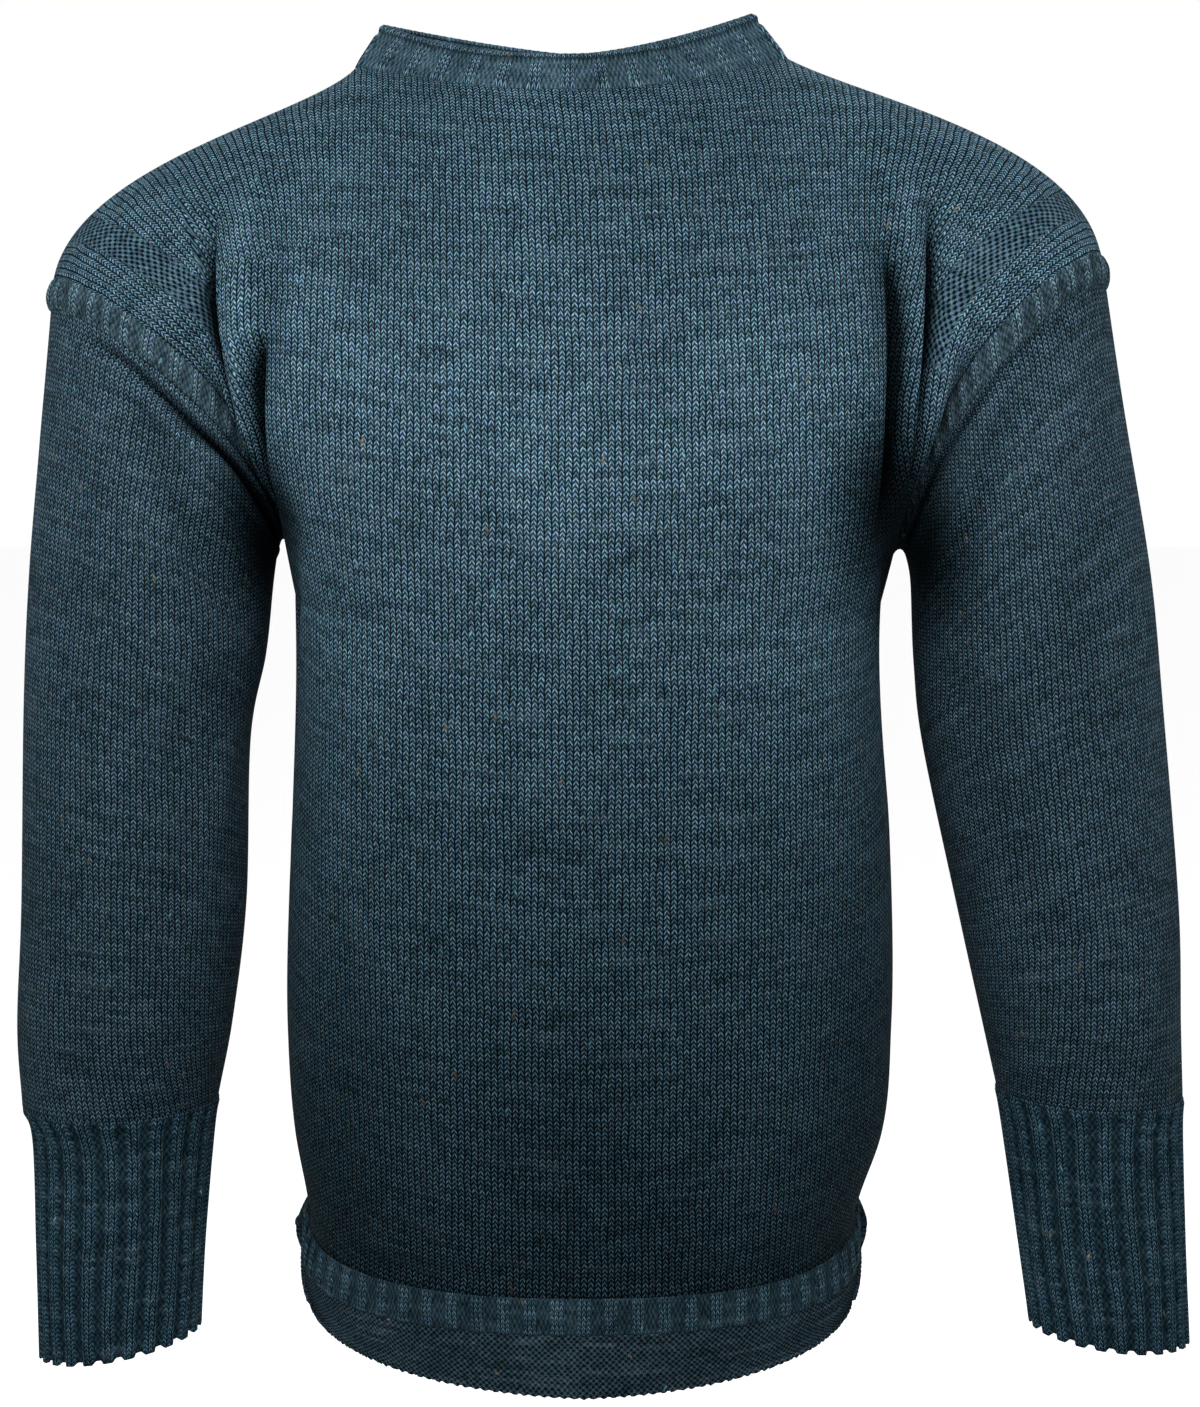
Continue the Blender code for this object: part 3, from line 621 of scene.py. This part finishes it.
HEAD_RIB, BAND_ROWS = 16, 16
SLEEVE_ROWS, HEAD_ROWS, CUFF_ROWS = 96, 36, 56
HEAD_PITCH, HEAD_KNIT = 14, 6.6         # ribs round the sleeve head
SLEEVE_SHADE = 0.6                      # of the body's shade at the same height
CUFF_RIBS, CUFF_PITCH, CUFF_KNIT, CUFF_THICK = 24, 12, 7.2, 2.6
SLEEVE_CUT = {
    "right": dict(flat=(0.427, 0.417), area=0.140),
    "left": dict(flat=(0.447, 0.426), area=0.141),
}
HEAD_CUT = {
    "right": dict(flat=(0.427, 0.016), area=0.0068),
    "left": dict(flat=(0.447, 0.016), area=0.0071),
}
CUFF_CUT = {
    "right": dict(flat=(0.324, 0.136), area=0.0363),
    "left": dict(flat=(0.313, 0.132), area=0.0359),
}
SLEEVE = {
    "right": table(
        "outer_z inner_z outer_x inner_x depth swing",
        (-194,   -272,   -282,    -163,   62,   0),
        (-262,   -306,   -289,    -167,   62,   0),
        (-330,   -350,   -293,    -175.5, 61,  -2),
        (-436,   -436,   -296,    -178.5, 60,  -6),
        (-500,   -498,   -299,    -186,   57, -10),
        (-542,   -539,   -297,    -194,   52, -12),
    ),
    "left": table(
        "outer_z inner_z outer_x inner_x depth swing",
        (-186,   -272,   280.5,    170.5, 62,   0),
        (-262,   -312,   294.5,    172.5, 62,   0),
        (-330,   -354,   302,      177.5, 61,  -2),
        (-436,   -438,   312,      196,   60,  -6),
        (-500,   -500,   314,      210,   56, -10),
        (-537,   -533,   315.5,    217.5, 51, -12),
    ),
}
CUFF = {
    "right": table(
        "outer_z inner_z outer_x inner_x depth swing",
        (-542,   -539,   -297,    -194,   52, -12),
        (-560,   -556,   -291,    -197,   47, -13),
        (-620,   -614,   -290,    -202.5, 43, -15),
        (-677,   -662,   -289.5,  -205.5, 41, -17),
    ),
    "left": table(
        "outer_z inner_z outer_x inner_x depth swing",
        (-537,   -533,   315.5,    217.5, 51, -12),
        (-556,   -551,   315,      221,   46, -13),
        (-616,   -610,   317.5,    230,   42, -15),
        (-669,   -660,   320.5,    237.5, 41, -17),
    ),
}
# Creases round a sleeve: turns are 0 at its inner line, 0.25 in front, 0.5 outside and
# 0.75 behind; heights run from 0 at the head rib to 1 at the cuff.
SLEEVE_CREASES = {
    "right": table(
        "low     mid     top     start   end     left    right   depth",
        ( 0.300,  0.210,  0.120,   0.02,   0.36,  0.035,  0.035,    3.6),
        ( 0.220,  0.140,  0.060,   0.05,   0.30,  0.025,  0.025,   -2.2),
        ( 0.400,  0.350,  0.300,   0.10,   0.55,  0.050,  0.050,    1.6),
        ( 0.100,  0.170,  0.240,   0.42,   0.66,  0.040,  0.040,    2.4),
        ( 0.060,  0.110,  0.160,   0.52,   0.74,  0.030,  0.030,   -1.8),
        ( 0.340,  0.300,  0.260,   0.62,   0.98,  0.045,  0.045,    1.8),
        ( 0.700,  0.790,  0.880,   0.03,   0.36,  0.040,  0.040,    3.2),
        ( 0.780,  0.720,  0.660,   0.45,   0.72,  0.045,  0.045,    2.6),
        ( 0.880,  0.810,  0.740,   0.62,   0.96,  0.045,  0.045,   -1.8),
    ),
    "left": table(
        "low     mid     top     start   end     left    right   depth",
        ( 0.270,  0.195,  0.120,   0.02,   0.30,  0.035,  0.035,    3.4),
        ( 0.200,  0.125,  0.050,   0.06,   0.34,  0.025,  0.025,   -2.0),
        ( 0.380,  0.320,  0.260,   0.16,   0.60,  0.050,  0.050,    1.8),
        ( 0.080,  0.140,  0.200,   0.38,   0.60,  0.035,  0.035,    2.2),
        ( 0.120,  0.190,  0.260,   0.55,   0.80,  0.040,  0.040,    1.8),
        ( 0.360,  0.330,  0.300,   0.68,   0.98,  0.040,  0.040,   -1.4),
        ( 0.720,  0.810,  0.900,   0.04,   0.34,  0.040,  0.040,    3.0),
        ( 0.800,  0.740,  0.680,   0.40,   0.70,  0.045,  0.045,    2.4),
        ( 0.900,  0.840,  0.780,   0.60,   0.94,  0.045,  0.045,   -1.6),
    ),
}


# A trough under the sleeve's head rib, with a roll of cloth on either side of it.  It is
# deepest towards the armpit and runs out towards the outer line.
HEAD_TROUGH = dict(offset=dict(right=11, left=5), deep=dict(right=8.5, left=4.5),
                   roll=dict(right=2.6, left=1.2))


def ring(rings, row, turn):
    """One ring of a sleeve; turn 0 is its inner point, then front, outer point, back."""
    outer_z, inner_z, outer_x, inner_x, depth, swing = (rings[n][row] for n in rings)
    out = (1 - np.cos(2 * np.pi * turn)) / 2
    return np.stack([inner_x + out * (outer_x - inner_x),
                     swing - depth * np.sin(2 * np.pi * turn),
                     inner_z + out * (outer_z - inner_z)], axis=-1)


def between_rings(rings, rows, turn):
    """Rings at even steps down a table, on smooth curves through its rows."""
    count = len(rings["depth"])
    steps = np.linspace(0, count - 1, rows + 1)
    keyed = dict(rings, row=np.arange(count, dtype=float))
    smooth = {n: np.array([along(keyed, n, s, "row") for s in steps]) for n in rings}
    return np.stack([ring(smooth, i, turn) for i in range(rows + 1)])


def ridges(u, pitch, width, soft=1.2):
    """1 on ridges of a width, set a pitch apart along u, and 0 between them."""
    off = np.abs((u / pitch + 0.5) % 1 - 0.5) * pitch
    return 1 - step(width / 2 - soft / 2, width / 2 + soft / 2, off)


# The sleeve, head rib and cuff loops are darker than the body's: painted shade for the less
# light that reaches the arms, and least at the cuffs. Their dark gap colours are painted shade
# between the loops.
sleeve_wool = knit("navy_teal_wool_sleeve", "#050a0e", "#455d6b", wale=3.25, course=2.25)
head_wool = knit("navy_teal_wool_head_rib", "#03080c", "#465c67", wale=3.1, course=2.4,
                 relief=1.1)
cuff_wool = knit("navy_teal_wool_cuff_rib", "#020508", "#314b58", wale=3.0, course=2.4,
                 relief=1.2)
turn_round = np.linspace(0, 1, 2 * YOKE_ROWS + 1)
sleeve_edges = {}
for side, edge, turn in (("right", 0, 1), ("left", -1, -1)):
    armhole = np.concatenate([panels[FRONT][UNDERARM_ROW:, edge],
                              panels[BACK][UNDERARM_ROW:, edge][::-1][1:]])
    arm = between_rings(SLEEVE[side], SLEEVE_ROWS, turn_round)
    fall = arm[0] - armhole
    reach = np.linalg.norm(fall, axis=1, keepdims=True)
    down = arm[1] - arm[0]
    down = down / np.linalg.norm(down, axis=1, keepdims=True)
    head_paths = bezier(armhole, armhole + fall / 3, arm[0] - down * reach / 3, arm[0],
                        np.linspace(0, 1, 60))
    band, upper = [], []
    for i in range(len(turn_round)):
        path = head_paths[:, i]
        share = HEAD_RIB / run(path)[-1]
        band.append(at_shares(path, np.linspace(0, share, BAND_ROWS + 1)))
        upper.append(at_shares(path, np.linspace(share, 1, HEAD_ROWS + 1)))
    band, upper = np.stack(band, axis=1), np.stack(upper, axis=1)
    sleeve_edges[side] = np.concatenate([band, upper[1:]])
    # The ends of each row lie either side of the gusset, down to the first ring.
    body = np.concatenate([upper, arm[1:]])

    way = np.linspace(0, 1, len(body))[:, None]
    depth = creases(SLEEVE_CREASES[side], turn_round[None], way)
    offset, deep, roll = (HEAD_TROUGH[n][side] for n in ("offset", "deep", "roll"))
    offset = offset * (1 - 0.6 * step(0.22, 0.42, turn_round)) + np.sin(turn_round * 40)
    near = step(0.44, 0.14, turn_round) + 0.4 * step(0.58, 0.80, turn_round)
    below = upward(body)
    trough = deep * np.exp(-((below - offset) / 3.2) ** 2) * step(0, 2, below)
    rolls = roll * (np.exp(-((below - 0.35 * offset) / (0.3 * offset)) ** 2)
                    + np.exp(-((below - offset - 9) / 7) ** 2)) * step(0, 3, below)
    depth = depth * step(0, 0.04, way) * step(0, 0.03, 1 - way) + near * (trough - rolls)
    depth[:HEAD_ROWS, [0, -1]] = 0
    body = pushed(body, depth, turn)

    # Wales run down from the outer line; every column has as many courses as the next.
    girth = across(body)
    girth = girth - girth[:, [YOKE_ROWS]]
    drop = upward(body)
    courses = -drop * (drop[-1].mean() / drop[-1])
    # Painted shade: a share of the body's painted shade at the same height, deeper in the
    # troughs and under the arm.
    shade = SLEEVE_SHADE * along(PAINTED_SHADE, "shade", body[..., 2], "level")
    shade = shadow(body, shade, depth)
    piece = wall("sleeve_%s_cloth" % side, body, turn,
                 np.stack([girth * turn, courses], axis=-1), dict(shade=shade))
    put_on(piece, "sleeve_" + side, sleeve_wool, **SLEEVE_CUT[side])

    # Ribbed head: narrow knit columns between purl fields, drawn in at both edges.  The
    # columns carry a painted highlight, the purl fields painted shade, and the whole band the
    # painted shade under the arm.
    around = across(band)
    around = around - around[:, [YOKE_ROWS]]
    part = np.linspace(0, 1, BAND_ROWS + 1)[:, None]
    rib = ridges(around + 2.5 * np.sin(around * 0.09), HEAD_PITCH, HEAD_KNIT, 3.6)
    lift = (rib * 2.8 - 0.8) * np.sin(np.pi * part) ** 0.5 + 1.2 * np.sin(np.pi * part)
    band = pushed(band, -lift, turn)
    piece = wall("sleeve_head_rib_%s_cloth" % side, band, turn,
                 np.stack([around * turn, -part * HEAD_RIB + 0 * around], axis=-1),
                 dict(purl=1 - rib, shade=shadow(band, 0.18 - 0.6 * rib, 0 * rib)))
    put_on(piece, "sleeve_head_rib_" + side, head_wool, **HEAD_CUT[side])

    # Cuff: two by two rib, whose ridges scallop its lower edge.  Its purl valleys carry
    # painted shade, fading out at its top edge.
    fine_turn = np.linspace(0, 1, CUFF_RIBS * 14 + 1)
    cuff = between_rings(CUFF[side], CUFF_ROWS, fine_turn)
    part = np.linspace(0, 1, CUFF_ROWS + 1)[:, None]
    ribs = (fine_turn[None] * CUFF_RIBS * CUFF_PITCH
            + 0.8 * np.sin(part * 9 + fine_turn[None] * 12))
    rib = ridges(ribs, CUFF_PITCH, CUFF_KNIT, 2.0)
    lift = (rib - 0.45) * 2.1 * step(0, 0.08, part)
    cuff = pushed(cuff, -lift, turn, closed=True)
    cuff[..., 2] -= (rib * 1.6 - 0.8) * step(0.93, 1, part)
    shade = (0.42 - 0.45 * rib) * step(0, 0.06, part)
    drop = upward(cuff)
    piece = wall("cuff_%s_cloth" % side, cuff, turn,
                 np.stack([ribs * turn, -drop], axis=-1),
                 dict(purl=(1 - rib) * step(0, 0.05, part), shade=shade), closed=True,
                 thick=CUFF_THICK)
    put_on(piece, "cuff_" + side, cuff_wool, **CUFF_CUT[side])


# ---------------------------------------------------------------------- underarm gussets
# Diamonds of plain stocking stitch between the body and the sleeves, grown out of the
# body's side stitches and narrowed away into the sleeves.

# The gusset lies in the shade under the arm: a painted shade of 0.8 all over it.
GUSSET_STEPS, GUSSET_SHADE = 24, 0.8
GUSSET_CUT = {
    "right": dict(flat=(0.058, 0.035), area=0.0012),
    "left": dict(flat=(0.053, 0.033), area=0.0011),
}


def coons(bottom, top, left, right):
    """Patch spanned by four edge curves: the mean of each pair of facing edges, added,
    less the flat patch through the corners; bottom and top run left to right."""
    u = np.linspace(0, 1, len(bottom))[None, :, None]
    v = np.linspace(0, 1, len(left))[:, None, None]
    inside = ((1 - u) * (1 - v) * bottom[0] + u * (1 - v) * bottom[-1]
              + (1 - u) * v * top[0] + u * v * top[-1])
    return ((1 - v) * bottom[None] + v * top[None]
            + (1 - u) * left[:, None] + u * right[:, None] - inside)


# Its loops are darker than the body's, painted shade under the arm, and its dark gap colour is
# painted shade between the loops.
gusset_wool = knit("navy_teal_wool_gusset", "#03080c", "#33464f")
for side, edge, turn in (("right", 0, 1), ("left", -1, -1)):
    even = np.linspace(0, 1, GUSSET_STEPS + 1)
    front_edge, back_edge = (at_shares(panels[face][TORSO_ROWS:UNDERARM_ROW + 1, edge], even)
                             for face in (FRONT, BACK))
    head = sleeve_edges[side]
    grid = coons(front_edge, at_shares(head[:, -1], even), back_edge,
                 at_shares(head[:, 0], even))
    piece = wall("underarm_gusset_%s_cloth" % side, grid, turn,
                 np.stack([across(grid), upward(grid)], axis=-1),
                 dict(shade=GUSSET_SHADE))
    put_on(piece, "underarm_gusset_" + side, gusset_wool, **GUSSET_CUT[side])


# ----------------------------------------------------------------------------------- hem
# A short rib drawn in below the body, then a garter welt cast off at its lower edge, in
# a front and a back flap that part at the side vents.

RIB_ROWS, RIB_HEIGHT, RIB_PITCH, RIB_KNIT = 20, 19, 13.5, 6.4
WELT_ROWS, WELT_HEIGHT, WELT_BUMP, BEAD_PITCH = 34, 33, 1.7, 5.0
HEM_STEPS = 190
HEM_RIB_CUT = {FRONT: dict(flat=(0.438, 0.019), area=0.0082),
               BACK: dict(flat=(0.422, 0.019), area=0.0080)}
HEM_WELT_CUT = {FRONT: dict(flat=(0.434, 0.033), area=0.0114),
                BACK: dict(flat=(0.422, 0.033), area=0.0112)}

# Each flap's corner against the side line: how far towards its face, up and out it is.
VENT = {
    FRONT: table(
        "level  back  lift  flare",
        (HEM_LEVEL,  23, 18,  2),
        (-650,        9,  7,  4),
        (WELT_LEVEL,  4,  0,  3),
        (RIB_LEVEL,   0,  0,  0),
    ),
    BACK: table(
        "level  back  lift  flare",
        (HEM_LEVEL,   9, 12,  3),
        (-650,        3,  4,  7),
        (WELT_LEVEL,  2,  0,  8),
        (RIB_LEVEL,   0,  0,  0),
    ),
}


def hem_band(face, levels, shares):
    """A band below the torso, from vent to vent, rows from its lower edge up."""
    halves = []
    for side, sign in (("right", -1), ("left", 1)):
        rows = []
        for level in levels:
            back, lift, flare = (along(VENT[face], n, level, "level")
                                 for n in ("back", "lift", "flare"))
            edge = np.array(torso_edge(side, level)) + (sign * flare, face * back, lift)
            rows.append(torso_row(side, face, level, edge, shares))
        halves.append(np.stack(rows))
    return np.concatenate([halves[0][:, ::-1], halves[1][:, 1:]], axis=1)


# The hem rib and welt loops are darker than the body's: painted shade for the dim light low on
# the sweater. Their dark gap colours are painted shade between the loops.
hem_wool = knit("navy_teal_wool_hem_rib", "#020508", "#324954", wale=2.25, course=2.5,
                relief=1.1)
welt_wool = knit("navy_teal_wool_garter_welt", "#04080b", "#30434d", wale=3.2, course=1.6,
                 relief=1.3)
hem_shares = np.linspace(0, 1, HEM_STEPS + 1)
hem_span = np.concatenate([-hem_shares[::-1], hem_shares[1:]])
for face, word in ((FRONT, "front"), (BACK, "back")):
    grid = hem_band(face, np.linspace(WELT_LEVEL, RIB_LEVEL, RIB_ROWS + 1), hem_shares)
    panel_foot = np.stack([np.interp(hem_span, panel_shares, panels[face][0][:, k])
                           for k in range(3)], axis=-1)
    part = np.linspace(0, 1, RIB_ROWS + 1)[:, None]
    grid = grid + (part ** 2)[..., None] * (panel_foot - grid[-1])
    length = across(grid)
    around = length - length[:, [HEM_STEPS]]
    rib = ridges(around, RIB_PITCH, RIB_KNIT)
    lift = (rib * 2.0 - 0.3) * np.sin(np.pi * np.clip(part, 0.02, 1)) ** 0.4
    grid = pushed(grid, -lift, -face)
    # Painted shade in the purl fields and a painted highlight on the knit columns.
    piece = wall("hem_rib_%s_cloth" % word, grid, -face,
                 np.stack([around, part * RIB_HEIGHT + 0 * around], axis=-1),
                 dict(purl=1 - rib, shade=0.26 - 0.5 * rib))
    put_on(piece, "hem_rib_" + word, hem_wool, **HEM_RIB_CUT[face])

    grid = hem_band(face, np.linspace(HEM_LEVEL, WELT_LEVEL, WELT_ROWS + 1), hem_shares)
    length = across(grid)
    around = length - length[:, [HEM_STEPS]]
    part = np.linspace(0, 1, WELT_ROWS + 1)[:, None]
    bumps = (np.cos(around * np.pi / WELT_BUMP)
             * np.cos(part * WELT_HEIGHT * np.pi / WELT_BUMP))
    cast_off = 1 - step(0, 0.12, part)
    lift = 0.25 * bumps + 0.7 * cast_off
    grid = pushed(grid, -lift * step(0, 0.06, 1 - part), -face)
    grid[..., 2] -= 0.5 * cast_off * np.cos(around * 2 * np.pi / BEAD_PITCH)
    piece = wall("hem_welt_%s_cloth" % word, grid, -face,
                 np.stack([around, part * WELT_HEIGHT + 0 * around], axis=-1),
                 dict(seed=1.0, shade=0.0))
    put_on(piece, "hem_welt_" + word, welt_wool, **HEM_WELT_CUT[face])


# -------------------------------------------------------------------------------- collar
# A standing band of narrow knit columns between purl fields, pointed at both shoulders,
# with its cast-off edge rolled over outward.

COLLAR_CORNER = {"right": (-101.5, -8, 17), "left": (84.5, -8, 22.5)}
COLLAR_STEPS, COLLAR_ROWS, COLLAR_HEIGHT = 90, 22, 18
COLLAR_PITCH, COLLAR_KNIT, CHAIN_PITCH = 16, 6.6, 4.6
COLLAR_CUT = dict(flat=(0.476, 0.027), area=0.0095)

quarter = np.linspace(0, 1, COLLAR_STEPS + 1)
low_edges, high_edges = {}, {}
for face in (FRONT, BACK):
    lows, highs = [], []
    for side in ("right", "left"):
        lows.append(top_edge(side, face, quarter * NECK_SHARE))
        shape, corner = NECK[face], np.array(COLLAR_CORNER[side], float)
        highs.append(np.stack([
            NECK_CENTRE + quarter * (corner[0] - NECK_CENTRE),
            corner[1] + face * shape["collar_depth"] * (1 - quarter ** 2),
            shape["collar_dip"] + (corner[2] - shape["collar_dip"])
            * quarter ** shape["rise"][side]], axis=-1))
    low_edges[face] = np.concatenate([lows[0][::-1], lows[1][1:]])
    high_edges[face] = np.concatenate([highs[0][::-1], highs[1][1:]])
low = np.concatenate([low_edges[FRONT], low_edges[BACK][::-1][1:]])
high = np.concatenate([high_edges[FRONT], high_edges[BACK][::-1][1:]])
part = np.linspace(0, 1, COLLAR_ROWS + 1)
collar = low + part[:, None, None] * (high - low)
part = part[:, None]
length = across(collar).mean(axis=0)
around = np.broadcast_to(length - length[COLLAR_STEPS], collar.shape[:2])
rib = ridges(around, COLLAR_PITCH, COLLAR_KNIT) * (1 - step(0.70, 0.78, part))
rolled = np.exp(-((part - 0.9) / 0.09) ** 2)
chain = 0.5 + 0.5 * np.cos(2 * np.pi * (around / CHAIN_PITCH + part * 1.3))
lower = np.exp(-(part / 0.09) ** 2)
lift = rib * 1.3 + rolled * (1.5 + 0.7 * chain) + lower * 0.9
collar = pushed(collar, -lift, 1, closed=True)
collar[..., 2] -= lower * (1.2 + 1.3 * rib)
collar[..., 2] += 0.5 * rolled * chain
collar_wool = knit("navy_teal_wool_collar_rib", PAINTED_GAP_SHADE, "#455e6b", wale=2.3, course=2.4,
                   relief=1.1)
# Painted highlight on the knit columns and painted shade in the purl fields, none on the rolled
# edge.
piece = wall("collar_cloth", collar, 1,
             np.stack([around, part * COLLAR_HEIGHT + 0 * around], axis=-1),
             dict(purl=(1 - rib) * (1 - rolled), shade=(0.1 - 0.3 * rib) * (1 - rolled)),
             closed=True)
put_on(piece, "collar", collar_wool, **COLLAR_CUT)


# --------------------------------------------------------------- floor, light and camera
# A white floor well below the hanging sweater, a white room all round it, and a broad
# soft lamp in front and behind, both a little above the shoulders.

FLOOR_LEVEL, FLOOR_REACH = -1.25, 12        # metres
r = FLOOR_REACH
floor_mesh = bpy.data.meshes.new("floor")
floor_mesh.from_pydata([(-r, -r, FLOOR_LEVEL), (r, -r, FLOOR_LEVEL),
                        (r, r, FLOOR_LEVEL), (-r, r, FLOOR_LEVEL)], [], [(0, 1, 2, 3)])
floor = bpy.data.objects.new("floor", floor_mesh)
bpy.context.scene.collection.objects.link(floor)
paper = bpy.data.materials.new("white_paper")
paper.use_nodes = True
paper.node_tree.nodes["Principled BSDF"].inputs["Base Color"].default_value = linear("#fbfbfb")
paper.node_tree.nodes["Principled BSDF"].inputs["Roughness"].default_value = 0.95
floor_mesh.materials.append(paper)

world = bpy.data.worlds.new("white_room")
world.use_nodes = True
world.node_tree.nodes["Background"].inputs["Color"].default_value = linear("#ffffff")
world.node_tree.nodes["Background"].inputs["Strength"].default_value = 1.0
bpy.context.scene.world = world
bpy.context.scene.view_settings.view_transform = "Standard"

for name, place, target, size, power in (
        ("key_softbox", (-0.1, -0.95, 0.8), (0, 0, -0.15), (0.9, 0.5), 36),
        ("back_softbox", (0.2, 0.95, 0.8), (0, 0, -0.15), (0.9, 0.5), 28)):
    lamp = bpy.data.lights.new(name, "AREA")
    lamp.shape = "RECTANGLE"
    lamp.size, lamp.size_y = size
    lamp.energy = power
    light = bpy.data.objects.new(name, lamp)
    light.location = place
    light.rotation_euler = (Vector(target) - Vector(place)).to_track_quat("-Z", "Y").to_euler()
    bpy.context.scene.collection.objects.link(light)

lens = bpy.data.cameras.new("camera")
lens.sensor_fit = "HORIZONTAL"
lens.sensor_width = 36
lens.lens = 98.07
camera = bpy.data.objects.new("camera", lens)
camera.location = (0.008, -1.7, -0.108)
camera.rotation_euler = (np.radians(90 - 7.5), 0, 0)
bpy.context.scene.collection.objects.link(camera)
bpy.context.scene.camera = camera
